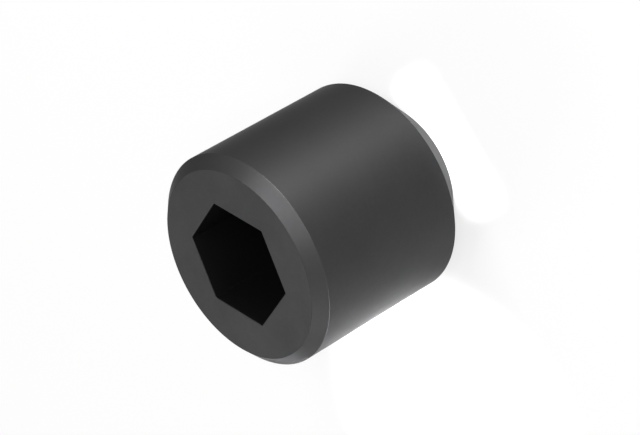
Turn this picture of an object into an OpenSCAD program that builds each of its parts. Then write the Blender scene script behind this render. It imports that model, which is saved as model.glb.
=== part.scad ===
// Grub screw: a headless screw turned from bar, with a hexagon socket at one end and a flat point at the other.
// It stands on its flat point, with the socket up and the origin at the middle of the point. Millimetres.

/* [Barrel] */
// Diameter of the barrel, over the crests of the thread
barrel_d = 6; // [5:0.25:8]
// Length from the flat point to the socket face
screw_l = 6; // [5:0.25:20]

/* [Socket end] */
// Width of the chamfer round the socket face, measured across the face
face_chamfer = 0.32; // [0.1:0.02:0.5]
// Angle of that chamfer to the axis
face_chamfer_angle = 45; // [30:5:60]

/* [Flat point] */
// Diameter of the flat point
point_d = 4; // [3:0.25:4.5]
// Angle of the cone behind the point to the axis
point_angle = 45; // [40:5:60]

/* [Socket] */
// Width of the hexagon across its flats
socket_af = 3; // [2:0.1:3.5]
// Depth of the full hexagon under the socket face
socket_depth = 3; // [1:0.1:3.2]
// What the broach takes off the drilled hole at the middle of each flat
broach_cut = 0.05; // [0.02:0.01:0.2]
// Angle of the drill's point, from side to side
drill_angle = 120; // [110:2:140]

/* [Hidden] */

// Colour of the blackened steel
black_steel = [0.28, 0.28, 0.28];

// Segments of a full turn, and the sides of the socket
round_fn = 128;
hex_sides = 6;

// How far a cut runs on past the face that it opens
cut_past = 1;

// The turned outline
barrel_r = barrel_d / 2;
point_r = point_d / 2;
face_r = barrel_r - face_chamfer;
face_chamfer_l = face_chamfer / tan(face_chamfer_angle);
point_l = (barrel_r - point_r) / tan(point_angle);

// The socket: a hexagon is as wide across its corners as its flats over the cosine of half a side's angle
socket_corners_d = socket_af / cos(180 / hex_sides);
socket_floor_z = screw_l - socket_depth;
drill_r = socket_af / 2 - broach_cut;
drill_tip_l = drill_r / tan(drill_angle / 2);

// The blank as it leaves the lathe: point, cone, barrel and chamfered face in one revolve
module turned_blank() {
    rotate_extrude($fn = round_fn)
        polygon([
            [0, 0],
            [point_r, 0],
            [barrel_r, point_l],
            [barrel_r, screw_l - face_chamfer_l],
            [face_r, screw_l],
            [0, screw_l]
        ]);
}

// The hole that is drilled first, whose cone stays as the bottom of the socket
module drilled_hole() {
    rotate_extrude($fn = round_fn)
        polygon([
            [0, socket_floor_z - drill_tip_l],
            [drill_r, socket_floor_z],
            [drill_r, screw_l + cut_past],
            [0, screw_l + cut_past]
        ]);
}

// The hexagon that the broach then pushes into the drilled hole, with a corner on +X
module broached_hexagon() {
    translate([0, 0, socket_floor_z])
        cylinder(h = socket_depth + cut_past, d = socket_corners_d, $fn = hex_sides);
}

module grub_screw() {
    color(black_steel)
        difference() {
            turned_blank();
            drilled_hole();
            broached_hexagon();
        }
}

grub_screw();
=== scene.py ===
# %% [markdown]
# # A grub screw, from a turned outline to a blackened finish
#
# A grub screw is a screw with no head. It is turned from bar, a hexagon is pushed into one end
# for the key, and the piece is blackened in a hot bath. This lesson loads the measured model,
# draws half of its outline, and lets a node tree be both the lathe and the broach.

# %% Load the measured model
import math

import bmesh
import bpy
from mathutils import Matrix, Vector


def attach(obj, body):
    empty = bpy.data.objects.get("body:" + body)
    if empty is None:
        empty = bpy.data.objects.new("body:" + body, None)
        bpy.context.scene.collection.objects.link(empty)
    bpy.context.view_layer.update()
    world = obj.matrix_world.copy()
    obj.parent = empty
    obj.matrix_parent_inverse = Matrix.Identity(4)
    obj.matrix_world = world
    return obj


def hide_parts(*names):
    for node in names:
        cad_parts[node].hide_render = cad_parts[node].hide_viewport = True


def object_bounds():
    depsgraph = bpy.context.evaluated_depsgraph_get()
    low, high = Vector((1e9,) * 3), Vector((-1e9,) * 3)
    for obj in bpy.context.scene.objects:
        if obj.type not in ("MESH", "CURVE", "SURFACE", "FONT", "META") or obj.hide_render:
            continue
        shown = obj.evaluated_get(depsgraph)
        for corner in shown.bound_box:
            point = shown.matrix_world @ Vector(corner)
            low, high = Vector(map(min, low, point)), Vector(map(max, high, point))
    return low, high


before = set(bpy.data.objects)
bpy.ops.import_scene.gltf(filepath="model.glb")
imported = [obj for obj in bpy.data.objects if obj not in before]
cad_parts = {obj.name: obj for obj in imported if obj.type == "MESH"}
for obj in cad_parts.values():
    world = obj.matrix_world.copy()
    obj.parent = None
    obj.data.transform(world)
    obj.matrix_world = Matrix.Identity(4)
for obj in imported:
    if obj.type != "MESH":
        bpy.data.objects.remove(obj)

cad_low, cad_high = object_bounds()
MM = 0.001
print("CAD box, mm:", [round(side / MM, 3) for side in cad_high - cad_low])

# %% [markdown]
# ## Read the sizes off the model
#
# Nothing is measured twice. Every size below is read from the points of the CAD screw, so this
# script follows when the model changes. A turned shape needs only two numbers for each point:
# how far it lies from the axis, and how high.

# %% Measure the turned body
NEAR = 0.02 * MM

screw_points = [
    (math.hypot(point.co.x, point.co.y), point.co.z)
    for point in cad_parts["grub_screw"].data.vertices
]


def radii_at(height):
    """Distances from the axis of the points at one height, smallest first."""
    return sorted(radius for radius, z in screw_points if abs(z - height) < NEAR)


face_z = cad_high.z
point_r = radii_at(0.0)[-1]
face_r = radii_at(face_z)[-1]
barrel_r = max(radius for radius, z in screw_points)
barrel_heights = [z for radius, z in screw_points if radius > barrel_r - NEAR]
barrel_low, barrel_high = min(barrel_heights), max(barrel_heights)
barrel_sizes = (barrel_r, barrel_low, barrel_high)
print("Barrel radius and ends, mm:", [round(size / MM, 3) for size in barrel_sizes])

# %% Measure the socket
SIDES = 6

socket_corner_r = radii_at(face_z)[0]
socket_flat_r = socket_corner_r * math.cos(math.pi / SIDES)
socket_points = [
    (radius, z)
    for radius, z in screw_points
    if radius < socket_corner_r + NEAR and NEAR < z < face_z - NEAR
]
floor_z = max(z for radius, z in socket_points)
drill_r = radii_at(floor_z)[0]
drill_tip_z = min(z for radius, z in socket_points)
socket_sizes = (2 * socket_flat_r, face_z - floor_z)
print("Socket across flats and depth, mm:", [round(size / MM, 3) for size in socket_sizes])

# %% [markdown]
# ## Draw half of the outline
#
# A turner works from half a section, and so does this script: one line from the middle of the
# flat point, round the outside, over the face, down the socket and back to the axis.
# Tools never leave a knife edge, so each corner gets a small arc. On both sides of an arc lies
# one more point, close by, which keeps the smooth shading of the arc off the flat faces.

# %% Break a corner with an arc
ARC_STEPS = 6
HOLD = 0.012 * MM


def broken_corner(before, corner, after, radius):
    """Points of an arc that replaces a corner, with a holding point on each side."""
    back, on = (before - corner).normalized(), (after - corner).normalized()
    half_angle = back.angle(on) / 2
    reach = radius / math.tan(half_angle)
    centre = corner + (back + on).normalized() * radius / math.sin(half_angle)
    first, last = corner + back * reach - centre, corner + on * reach - centre
    swept = first.angle(last)
    arc = []
    for step in range(ARC_STEPS + 1):
        share = step / ARC_STEPS
        lean = math.sin((1 - share) * swept) * first + math.sin(share * swept) * last
        arc.append(centre + lean / math.sin(swept))
    return [corner + back * (reach + HOLD), *arc, corner + on * (reach + HOLD)]


# %% List the corners of the half section
ROUND, HEXAGON = 0.0, 1.0

# Each corner: distance from the axis, height, radius of its arc, round or hexagonal section
corners = [
    (0.0, 0.0, 0.0, ROUND),
    (point_r, 0.0, 0.04 * MM, ROUND),
    (barrel_r, barrel_low, 0.03 * MM, ROUND),
    (barrel_r, barrel_high, 0.015 * MM, ROUND),
    (face_r, face_z, 0.015 * MM, ROUND),
    (socket_flat_r, face_z, 0.02 * MM, HEXAGON),
    (socket_flat_r, floor_z, 0.02 * MM, HEXAGON),
    (drill_r, floor_z, 0.01 * MM, ROUND),
    (0.0, drill_tip_z, 0.0, ROUND),
]


def half_section():
    """Stations along the outline: (distance from the axis, height, hexagon or round)."""
    spots = [Vector((radius, z)) for radius, z, arc, section in corners]
    stations = [(*spots[0], ROUND)]
    for place in range(1, len(corners) - 1):
        arc, section = corners[place][2:]
        for spot in broken_corner(spots[place - 1], spots[place], spots[place + 1], arc):
            stations.append((*spot, section))
    return [*stations, (*spots[-1], ROUND)]


stations = half_section()
print("Stations along the half section:", len(stations))

# %% Make the half section a line with notes on it
DEPTH_OF_MOUTH = 0.02 * MM


def outline_object():
    """The half section as an upright line. Three notes on its points steer the node tree."""
    mesh = bpy.data.meshes.new("half_section")
    spots = [Vector((radius, 0.0, z)) for radius, z, section in stations]
    mesh.from_pydata(spots, [(spot, spot + 1) for spot in range(len(spots) - 1)], [])
    notes = {
        name: mesh.attributes.new(name, "FLOAT", "POINT").data
        for name in ("hexagon", "broached", "along")
    }
    travelled = 0.0
    for spot, (radius, z, section) in enumerate(stations):
        if spot:
            travelled += (spots[spot] - spots[spot - 1]).length
        notes["hexagon"][spot].value = section
        notes["broached"][spot].value = section if z < face_z - DEPTH_OF_MOUTH else 0.0
        notes["along"][spot].value = travelled
    return bpy.data.objects.new("half_section", mesh)


half_section_line = outline_object()
bpy.context.collection.objects.link(half_section_line)
outline_length = half_section_line.data.attributes["along"].data[-1].value
print("Length of the half section, mm:", round(outline_length / MM, 2))

# %% [markdown]
# ## A lathe and a broach in one node tree
#
# A Screw or Spin modifier could turn the outline, but it only makes round sections, and the
# socket is a hexagon. So the tree below wraps a grid round the axis instead. Each row of the
# grid is one station of the outline and each column one angle. Where the outline is marked as a
# hexagon, the distance from the axis grows towards the six corners. The whole screw comes out
# as one closed skin, four-sided everywhere but at its two poles, which a cut with a Boolean
# would not give.

# %% Helpers that add nodes
def put(tree, kind, inputs=None, **settings):
    """Adds a node with its settings. Each input takes a value, or a socket to link to."""
    node = tree.nodes.new(kind)
    for name, value in settings.items():
        setattr(node, name, value)
    for key, value in (inputs or {}).items():
        if isinstance(value, bpy.types.NodeSocket):
            tree.links.new(value, node.inputs[key])
        else:
            node.inputs[key].default_value = value
    return node


def calc(tree, operation, *values):
    """Adds a Math node and returns its result."""
    return put(tree, "ShaderNodeMath", dict(enumerate(values)), operation=operation).outputs[0]


# %% Start the tree with named inputs
def new_tree(name, inputs):
    """A geometry node tree with these inputs, and the node that hands them out."""
    tree = bpy.data.node_groups.new(name, "GeometryNodeTree")
    for label, kind in inputs.items():
        tree.interface.new_socket(name=label, in_out="INPUT", socket_type=kind)
    tree.interface.new_socket(name="Screw", in_out="OUTPUT", socket_type="NodeSocketGeometry")
    return tree, tree.nodes.new("NodeGroupInput").outputs


lathe, given = new_tree(
    "Lathe and broach",
    {
        "Outline": "NodeSocketGeometry",
        "Sides": "NodeSocketInt",
        "Steps per half side": "NodeSocketInt",
        "Corner radius": "NodeSocketFloat",
        "Finish": "NodeSocketMaterial",
    },
)
print("Inputs of the lathe:", [socket.name for socket in given if socket.name])

# %% [markdown]
# The grid numbers its points station by station, so a division gives the column. The columns
# crowd together near the six corners, where the small corner radius needs them, and spread out
# along the flats, where a straight line needs few.

# %% Lay the grid and number its rows and columns
station_count = put(
    lathe, "GeometryNodeAttributeDomainSize", {"Geometry": given["Outline"]}, component="MESH"
).outputs["Point Count"]
columns_per_side = calc(lathe, "MULTIPLY", given["Steps per half side"], 2.0)
column_count = calc(lathe, "MULTIPLY", columns_per_side, given["Sides"])
grid = put(
    lathe,
    "GeometryNodeMeshGrid",
    {"Vertices X": calc(lathe, "ADD", column_count, 1.0), "Vertices Y": station_count},
)
point_number = put(lathe, "GeometryNodeInputIndex").outputs[0]
column = calc(lathe, "FLOOR", calc(lathe, "DIVIDE", point_number, station_count))
station = calc(lathe, "SUBTRACT", point_number, calc(lathe, "MULTIPLY", column, station_count))
print("Nodes so far:", len(lathe.nodes))

# %% Turn a column into an angle
half_side = calc(lathe, "DIVIDE", math.pi, given["Sides"])
side = calc(lathe, "FLOOR", calc(lathe, "DIVIDE", column, columns_per_side))
column_of_side = calc(lathe, "SUBTRACT", column, calc(lathe, "MULTIPLY", side, columns_per_side))
across = calc(
    lathe, "SUBTRACT", calc(lathe, "DIVIDE", column_of_side, given["Steps per half side"]), 1.0
)
to_corner = calc(lathe, "SUBTRACT", 1.0, calc(lathe, "ABSOLUTE", across))
corner_angle = calc(lathe, "MULTIPLY", half_side, calc(lathe, "MULTIPLY", to_corner, to_corner))
flat_angle = calc(
    lathe, "MULTIPLY", calc(lathe, "SIGN", across), calc(lathe, "SUBTRACT", half_side, corner_angle)
)
middle_of_side = calc(lathe, "MULTIPLY", calc(lathe, "MULTIPLY_ADD", side, 2.0, 1.0), half_side)
angle = calc(lathe, "ADD", middle_of_side, flat_angle)
print("Nodes so far:", len(lathe.nodes))


# %% Read the outline at each row
def at_station(value, data_type):
    """What the outline has at this row's station."""
    return put(
        lathe,
        "GeometryNodeSampleIndex",
        {"Geometry": given["Outline"], "Value": value, "Index": station},
        data_type=data_type,
    ).outputs["Value"]


def note(name):
    """The outline's note of that name, at this row's station."""
    read = put(lathe, "GeometryNodeInputNamedAttribute", {"Name": name}, data_type="FLOAT")
    return at_station(read.outputs["Attribute"], "FLOAT")


outline_point = put(
    lathe,
    "ShaderNodeSeparateXYZ",
    {0: at_station(put(lathe, "GeometryNodeInputPosition").outputs[0], "FLOAT_VECTOR")},
)
station_r, station_z = outline_point.outputs["X"], outline_point.outputs["Z"]
print("Nodes so far:", len(lathe.nodes))

# %% [markdown]
# A hexagon in polar form: along a flat, the distance from the axis is the flat's own distance
# over the cosine of the angle from its middle. Close to a corner, a small arc takes over.
# A broach has such arcs, because a sharp corner would crack when the steel is hardened.

# %% Shape the hexagon
flat_distance = calc(lathe, "DIVIDE", station_r, calc(lathe, "COSINE", flat_angle))
corner_radius = given["Corner radius"]
arc_centre = calc(
    lathe,
    "DIVIDE",
    calc(lathe, "SUBTRACT", station_r, corner_radius),
    calc(lathe, "COSINE", half_side),
)
off_centre = calc(lathe, "MULTIPLY", arc_centre, calc(lathe, "SINE", corner_angle))
arc_rise = calc(
    lathe,
    "SQRT",
    calc(
        lathe,
        "MAXIMUM",
        calc(
            lathe,
            "SUBTRACT",
            calc(lathe, "MULTIPLY", corner_radius, corner_radius),
            calc(lathe, "MULTIPLY", off_centre, off_centre),
        ),
        0.0,
    ),
)
arc_distance = calc(
    lathe, "MULTIPLY_ADD", arc_centre, calc(lathe, "COSINE", corner_angle), arc_rise
)
arc_ends_at = calc(
    lathe,
    "ARCTAN2",
    calc(lathe, "MULTIPLY", corner_radius, calc(lathe, "SINE", half_side)),
    calc(lathe, "MULTIPLY_ADD", corner_radius, calc(lathe, "COSINE", half_side), arc_centre),
)
on_arc = calc(lathe, "LESS_THAN", corner_angle, arc_ends_at)
print("Nodes so far:", len(lathe.nodes))


# %% Bend the grid into the screw
def blend(share, first, second):
    """A mix of two numbers: all first at a share of 0, all second at 1."""
    return calc(lathe, "MULTIPLY_ADD", share, calc(lathe, "SUBTRACT", second, first), first)


hexagon_r = blend(on_arc, flat_distance, arc_distance)
distance = blend(note("hexagon"), station_r, hexagon_r)
place = put(
    lathe,
    "ShaderNodeCombineXYZ",
    {
        "X": calc(lathe, "MULTIPLY", distance, calc(lathe, "COSINE", angle)),
        "Y": calc(lathe, "MULTIPLY", distance, calc(lathe, "SINE", angle)),
        "Z": station_z,
    },
)
skin = grid.outputs["Mesh"]
for name in ("broached", "along"):
    skin = put(
        lathe,
        "GeometryNodeStoreNamedAttribute",
        {"Geometry": skin, "Name": name, "Value": note(name)},
        data_type="FLOAT",
        domain="POINT",
    ).outputs["Geometry"]
skin = put(
    lathe, "GeometryNodeSetPosition", {"Geometry": skin, "Position": place.outputs[0]}
).outputs[0]
print("Nodes so far:", len(lathe.nodes))

# %% [markdown]
# The first and last column meet, and at both ends of the outline a whole row falls on one
# point. Merging by distance closes that seam and the two poles.

# %% Close the skin and finish the tree
SAME_SPOT = 0.00001 * MM

skin = put(
    lathe, "GeometryNodeMergeByDistance", {"Geometry": skin, "Distance": SAME_SPOT}
).outputs[0]
skin = put(lathe, "GeometryNodeSetShadeSmooth", {"Geometry": skin}).outputs[0]
skin = put(lathe, "GeometryNodeRealizeInstances", {"Geometry": skin}).outputs[0]
skin = put(
    lathe, "GeometryNodeSetMaterial", {"Geometry": skin, "Material": given["Finish"]}
).outputs[0]
put(lathe, "NodeGroupOutput", {"Screw": skin})
print("Nodes in the lathe:", len(lathe.nodes))

# %% [markdown]
# ## The black finish
#
# The steel is blackened in a hot bath of salts, which turns its skin into a thin layer of black
# iron oxide. Light doesn't enter that skin, so it is shaded as a metal, but as one that gives
# back only about four parts in a hundred of the light. It looks dark from the front, and inside
# the socket, where light has to be reflected twice, it is nearly black.
#
# Every surface gets paler towards a grazing angle. A fine oxide with open pores does so less than
# a polished one, so the shader's tint for grazing light is set below 1.
#
# A picture of real blackened steel could be wrapped round the screw, but it would stretch in the
# socket and on the cones. Patterns worked out at each point have no seam and no stretch.

# %% Start the finish
GRAZING_TINT = (0.51, 0.51, 0.51, 1.0)

# How many finer layers a noise gets on top of its main one
RICH_DETAIL, PLAIN_DETAIL = 3.0, 2.0

black_oxide = bpy.data.materials.new("black_oxide_steel")
black_oxide.use_nodes = True
finish = black_oxide.node_tree
skin_shader = finish.nodes["Principled BSDF"]
skin_shader.inputs["Metallic"].default_value = 1.0
skin_shader.inputs["Specular Tint"].default_value = GRAZING_TINT


def stored(name):
    """A note that the lathe left on the points of the screw."""
    return put(finish, "ShaderNodeAttribute", attribute_name=name).outputs["Fac"]


def noise(size, detail, places):
    """Noise from 0 to 1 in space, with blotches of about this size."""
    inputs = {"Vector": places, "Scale": 1 / size, "Detail": detail}
    return put(finish, "ShaderNodeTexNoise", inputs).outputs[0]


on_screw = put(finish, "ShaderNodeTexCoord").outputs["Object"]
print("The finish starts with:", [node.name for node in finish.nodes])

# %% [markdown]
# ### Clouds from the bath
#
# The bath never takes quite evenly. Noise of two sizes, a millimetre and a tenth of one, shifts
# the colour between two close blacks, and the shine with it. It is hard to see even when one
# looks for it, but without it the surface would look like moulded plastic.

# %% Cloud the colour and the shine
CLOUD_SIZE = 1.1 * MM
SPECKLE_SIZE = 0.12 * MM
CLOUD_SHARE = 0.65
THIN_OXIDE = (0.046, 0.046, 0.047, 1.0)
THICK_OXIDE = (0.032, 0.032, 0.033, 1.0)
ROUGHNESS_OF_THIN, ROUGHNESS_OF_THICK = 0.41, 0.49


def mix_colours(share, first, second):
    """A mix of two colours. Of the Mix node's many sockets, only those for colours are used."""
    node = put(finish, "ShaderNodeMix", {"Factor": share}, data_type="RGBA")
    for socket, colour in zip([end for end in node.inputs if end.type == "RGBA"], (first, second)):
        socket.default_value = colour
    return next(end for end in node.outputs if end.type == "RGBA")


clouds = noise(CLOUD_SIZE, RICH_DETAIL, on_screw)
speckle = noise(SPECKLE_SIZE, PLAIN_DETAIL, on_screw)
speckle_part = calc(finish, "MULTIPLY", speckle, 1.0 - CLOUD_SHARE)
thickness = calc(finish, "MULTIPLY_ADD", clouds, CLOUD_SHARE, speckle_part)
shine = put(
    finish,
    "ShaderNodeMapRange",
    {"Value": thickness, "To Min": ROUGHNESS_OF_THIN, "To Max": ROUGHNESS_OF_THICK},
)
finish.links.new(mix_colours(thickness, THIN_OXIDE, THICK_OXIDE), skin_shader.inputs["Base Color"])
finish.links.new(shine.outputs[0], skin_shader.inputs["Roughness"])
print("Nodes in the finish so far:", len(finish.nodes))

# %% [markdown]
# ### Marks of the tools
#
# Three marks lie under the oxide. The lathe leaves fine rings, which follow the outline, so they
# read the distance along it. The broach leaves straight scratches down the socket, made from
# noise that is stretched along the axis. The oxide itself adds a fine grain. All heights are in
# thousandths of a millimetre, and one bump node takes their sum.

# %% Rings, scratches and grain
MICRON = MM / 1000
RING_PITCH = 0.08 * MM
RING_HEIGHT = 0.5
SCRATCH_WIDTH = 0.05 * MM
SCRATCH_STRETCH = 0.03
SCRATCH_HEIGHT = 2.5
GRAIN_SIZE = 0.04 * MM
GRAIN_HEIGHT = 0.5

rings = put(
    finish,
    "ShaderNodeTexNoise",
    {"W": stored("along"), "Scale": 1 / RING_PITCH, "Detail": RICH_DETAIL},
    noise_dimensions="1D",
).outputs[0]
stretched = put(
    finish, "ShaderNodeMapping", {"Vector": on_screw, "Scale": (1.0, 1.0, SCRATCH_STRETCH)}
).outputs[0]
scratches = noise(SCRATCH_WIDTH, PLAIN_DETAIL, stretched)
grain = noise(GRAIN_SIZE, PLAIN_DETAIL, on_screw)

broached = stored("broached")
turned = calc(finish, "SUBTRACT", 1.0, broached)
ring_marks = calc(finish, "MULTIPLY", calc(finish, "MULTIPLY", rings, turned), RING_HEIGHT)
scratch_marks = calc(
    finish, "MULTIPLY", calc(finish, "MULTIPLY", scratches, broached), SCRATCH_HEIGHT
)
tool_marks = calc(finish, "ADD", ring_marks, scratch_marks)
relief = calc(finish, "MULTIPLY_ADD", grain, GRAIN_HEIGHT, tool_marks)
bump = put(finish, "ShaderNodeBump", {"Height": relief, "Distance": MICRON})
finish.links.new(bump.outputs[0], skin_shader.inputs["Normal"])
print("Nodes in the finish:", len(finish.nodes))

# %% [markdown]
# ## Turn the screw
#
# The tree works on the outline's object. Its inputs are set before it runs for the first time,
# by their identifiers, because two inputs could share a name. The result is then kept as a
# plain mesh, and the outline has done its work.

# %% Run the lathe and keep the mesh
STEPS_PER_HALF_SIDE = 24
SOCKET_CORNER_RADIUS = 0.05 * MM


def run_tree(line, tree, settings):
    """Runs the tree on an object and returns the result as a plain mesh."""
    modifier = line.modifiers.new(tree.name, "NODES")
    modifier.node_group = tree
    for socket in tree.interface.items_tree:
        if socket.name in settings:
            modifier[socket.identifier] = settings[socket.name]
    evaluated = line.evaluated_get(bpy.context.evaluated_depsgraph_get())
    made = bpy.data.meshes.new_from_object(evaluated)
    line.modifiers.clear()
    return made


screw_mesh = run_tree(
    half_section_line,
    lathe,
    {
        "Sides": SIDES,
        "Steps per half side": STEPS_PER_HALF_SIDE,
        "Corner radius": SOCKET_CORNER_RADIUS,
        "Finish": black_oxide,
    },
)
screw = bpy.data.objects.new("blackened_screw", screw_mesh)
bpy.context.collection.objects.link(screw)
bpy.data.objects.remove(half_section_line)
print("Faces of the screw:", len(screw_mesh.polygons))

# %% Check that the skin is closed and faces outwards
shell = bmesh.new()
shell.from_mesh(screw_mesh)
print("Open edges:", sum(not edge.is_manifold for edge in shell.edges))
print("Volume, cubic mm:", round(shell.calc_volume(signed=True) / MM**3, 2))
shell.free()

# %% Hand the screw over to the frame
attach(screw, "root")
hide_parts("grub_screw")
print("Handed over:", screw.name)

# %% [markdown]
# ## The camera
#
# The picture looks down on the screw from about where the corner of a cube would be, through a
# long lens, so the outline narrows only a little towards the far end. In the picture the socket
# points down to the left. Here the screw stands on its point, as it would on a bench, so the
# camera is rolled instead. The lens is given in pixels of the picture, and its length follows.

# %% Place the camera
PICTURE_WIDTH = 640
FOCAL_PIXELS = 2994.2
SENSOR_WIDTH = 36.0
CAMERA_AZIMUTH, CAMERA_ELEVATION = 15.12, 35.52
CAMERA_ROLL = math.radians(120.07)
CAMERA_DISTANCE = 78.916 * MM

middle = (cad_low + cad_high) / 2


def outward(azimuth, elevation):
    """The direction from the screw at this azimuth and elevation, in degrees. The front is 0."""
    turn, rise = math.radians(azimuth), math.radians(elevation)
    return Vector(
        (math.sin(turn) * math.cos(rise), -math.cos(turn) * math.cos(rise), math.sin(rise))
    )


def stand_off(thing, direction, distance, aim_at=middle):
    """Puts a camera or a lamp that far out from a spot, looking back at it."""
    facing = (-direction).to_track_quat("-Z", "Y").to_matrix().to_4x4()
    thing.matrix_world = Matrix.Translation(aim_at + direction * distance) @ facing


eye = bpy.data.cameras.new("camera")
eye.sensor_width = SENSOR_WIDTH
eye.lens = FOCAL_PIXELS / PICTURE_WIDTH * SENSOR_WIDTH
eye.clip_start = MM
camera = bpy.data.objects.new("camera", eye)
bpy.context.collection.objects.link(camera)
bpy.context.scene.camera = camera
stand_off(camera, outward(CAMERA_AZIMUTH, CAMERA_ELEVATION), CAMERA_DISTANCE)
camera.matrix_world = camera.matrix_world @ Matrix.Rotation(-CAMERA_ROLL, 4, "Z")
print("Lens, mm:", round(eye.lens, 1))
print("Camera at, mm:", [round(s / MM, 2) for s in camera.matrix_world.translation])

# %% [markdown]
# ## The floor
#
# The screw stands on a sheet of paper. The paper itself is grey, and a glow makes it up to white:
# about a quarter of what the camera sees of it is light from the room and the lamps, and the rest
# is glow. So the lamps stay at a plain level, and the screw still leaves a soft shadow. The glow
# is there for the camera and for reflections alike, so the steel mirrors the white floor that
# the camera sees.

# %% Lay the paper
FLOOR_HALF = 500 * MM
PAPER = (0.26, 0.26, 0.26, 1.0)
PAPER_GLOW = 0.745
WHITE = (1.0, 1.0, 1.0, 1.0)


def seen_by_eye_or_mirror(tree):
    """1 for rays of the camera, of reflections and through glass, 0 for those that only light."""
    rays = put(tree, "ShaderNodeLightPath").outputs
    mirror = calc(tree, "MAXIMUM", rays["Is Glossy Ray"], rays["Is Transmission Ray"])
    return calc(tree, "MAXIMUM", rays["Is Camera Ray"], mirror)


paper = bpy.data.materials.new("white_paper")
paper.use_nodes = True
weave = paper.node_tree
weave.nodes.clear()
lit = put(weave, "ShaderNodeBsdfDiffuse", {"Color": PAPER}).outputs[0]
strength = calc(weave, "MULTIPLY", seen_by_eye_or_mirror(weave), PAPER_GLOW)
glow = put(weave, "ShaderNodeEmission", {"Color": WHITE, "Strength": strength}).outputs[0]
both = put(weave, "ShaderNodeAddShader", {0: lit, 1: glow}).outputs[0]
put(weave, "ShaderNodeOutputMaterial", {"Surface": both})

floor_mesh = bpy.data.meshes.new("floor")
corners_of_floor = [
    (x * FLOOR_HALF, y * FLOOR_HALF, 0.0) for x, y in ((-1, -1), (1, -1), (1, 1), (-1, 1))
]
floor_mesh.from_pydata(corners_of_floor, [], [range(4)])
floor_mesh.materials.append(paper)
floor = bpy.data.objects.new("floor", floor_mesh)
bpy.context.collection.objects.link(floor)
print("Side of the paper, mm:", round(2 * FLOOR_HALF / MM))

# %% [markdown]
# ## The room
#
# Walls and ceiling are one plain white, for the eye and for reflections. For the light that they
# give they are dimmer, so that the lamps can model the form.

# %% Paint the room
ROOM_LIGHT = 0.25

room = bpy.data.worlds.new("room")
bpy.context.scene.world = room
room.use_nodes = True
air = room.node_tree
air.nodes.clear()
strength = calc(air, "MULTIPLY_ADD", seen_by_eye_or_mirror(air), 1.0 - ROOM_LIGHT, ROOM_LIGHT)
walls = put(air, "ShaderNodeBackground", {"Color": WHITE, "Strength": strength}).outputs[0]
put(air, "ShaderNodeOutputWorld", {"Surface": walls})
print("The room gives light at this share of its looks:", ROOM_LIGHT)

# %% [markdown]
# ## The lamps
#
# A dark satin body shows little but what it mirrors, so each lamp is placed for one reflection.
# For this camera the barrel mirrors the floor, so its light bands come from strips that stand on
# the floor some way off. They are no taller than the screw, so the socket face, which looks up,
# never catches them, from whatever side it is seen. The chamfer and the face lean back or look
# up, and take their light from wide windows higher in the air.

# %% Lamps that hang in the air
LAMP_DISTANCE = 250 * MM


def soft_lamp(name, direction, width, height, power, distance=LAMP_DISTANCE, aim_at=middle):
    """Hangs a flat lamp that faces the screw, or another spot, and returns its light."""
    lamp = bpy.data.lights.new(name, "AREA")
    lamp.shape = "RECTANGLE"
    lamp.size, lamp.size_y = width, height
    lamp.energy = power
    fixture = bpy.data.objects.new(name, lamp)
    bpy.context.collection.objects.link(fixture)
    stand_off(fixture, direction, distance, aim_at)
    return lamp


# Each window: name, azimuth and elevation in degrees, width and height, power in watts
windows = [
    ("chamfer_window", 66.0, 48.0, 140 * MM, 60 * MM, 0.32),
    ("front_window", 20.0, 42.0, 100 * MM, 50 * MM, 0.22),
    ("back_window", 205.0, 40.0, 100 * MM, 80 * MM, 0.09),
]
for name, azimuth, elevation, width, height, power in windows:
    soft_lamp(name, outward(azimuth, elevation), width, height, power)
print("Windows:", len(windows))

# %% Strips that stand on the floor
# Each strip: name, azimuth in degrees, width, power in watts
strips = [
    ("band_strip", 54.0, 34 * MM, 1.5),
    ("front_strip", 284.0, 140 * MM, 1.45),
    ("far_strip", 226.0, 50 * MM, 0.16),
]
for name, azimuth, width, power in strips:
    soft_lamp(name, outward(azimuth, 0.0), width, face_z, power)
print("Strips:", len(strips))

# %% [markdown]
# ### A pool of light beside the screw
#
# Towards its lower right edge in the picture the barrel grows pale, and there it mirrors the
# floor close beside it. More light on the screw would bleach the chamfer too. So a narrow spot
# hangs straight above that piece of floor, and its beam goes down past the screw. The beam fades
# all the way from its middle to its edge, which softens the rim of the pool.

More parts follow.
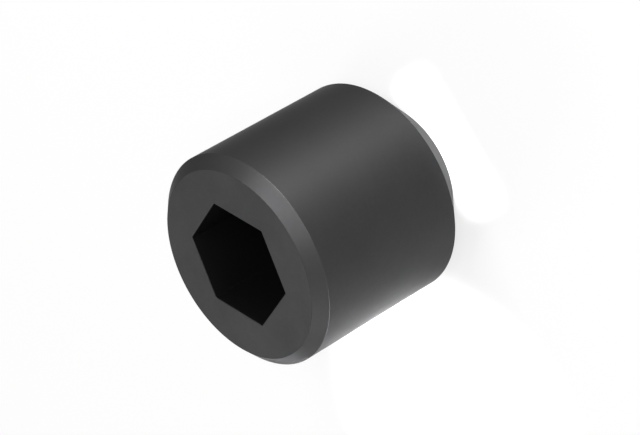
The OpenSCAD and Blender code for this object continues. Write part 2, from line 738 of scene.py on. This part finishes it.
# %% Light the floor but not the screw
POOL_AZIMUTH = 258.0
POOL_FROM_AXIS = 7.6 * MM
POOL_RADIUS = 4.5 * MM
POOL_SOFT_SHARE = 1.0
SPOT_HEIGHT = 150 * MM
SPOT_RADIUS = 1.0 * MM
SPOT_POWER = 17.0

spot = bpy.data.lights.new("pool_spot", "SPOT")
spot.energy = SPOT_POWER
spot.spot_size = 2 * math.atan(POOL_RADIUS / SPOT_HEIGHT)
spot.spot_blend = POOL_SOFT_SHARE
spot.shadow_soft_size = SPOT_RADIUS
downlight = bpy.data.objects.new("pool_spot", spot)
bpy.context.collection.objects.link(downlight)
pool_middle = outward(POOL_AZIMUTH, 0.0) * POOL_FROM_AXIS
stand_off(downlight, Vector((0.0, 0.0, 1.0)), SPOT_HEIGHT, aim_at=pool_middle)
print("Pool passes the barrel by, mm:", round((POOL_FROM_AXIS - POOL_RADIUS - barrel_r) / MM, 2))

# %% [markdown]
# ### A flat beam under the cone
#
# The cone behind the point looks down. What the camera sees in it is the floor right under it,
# which lies in the shade of the barrel. So a weak flat beam comes in low from the camera's side,
# passes under the barrel and lights that piece of floor. Its rays hardly spread, so almost none
# of them meet the steel.

# %% Light the floor under the cone
BEAM_WIDTH, BEAM_THICKNESS = 3.8 * MM, 0.7 * MM
BEAM_SPREAD = math.radians(2.0)
BEAM_ELEVATION = 42.0
BEAM_DISTANCE = 30 * MM
BEAM_POWER = 0.00012

under_cone = outward(CAMERA_AZIMUTH, 0.0) * (point_r + barrel_r) / 2
beam_from = outward(CAMERA_AZIMUTH, BEAM_ELEVATION)
beam = soft_lamp(
    "cone_beam", beam_from, BEAM_WIDTH, BEAM_THICKNESS, BEAM_POWER, BEAM_DISTANCE, under_cone
)
beam.spread = BEAM_SPREAD
print("Beam covers a depth of floor, mm:", round(BEAM_THICKNESS / beam_from.z / MM, 2))

# %% [markdown]
# ## Finish
#
# The blackened screw has to fill the same space as the measured one.

# %% Set the view transform
bpy.context.scene.view_settings.view_transform = "Standard"
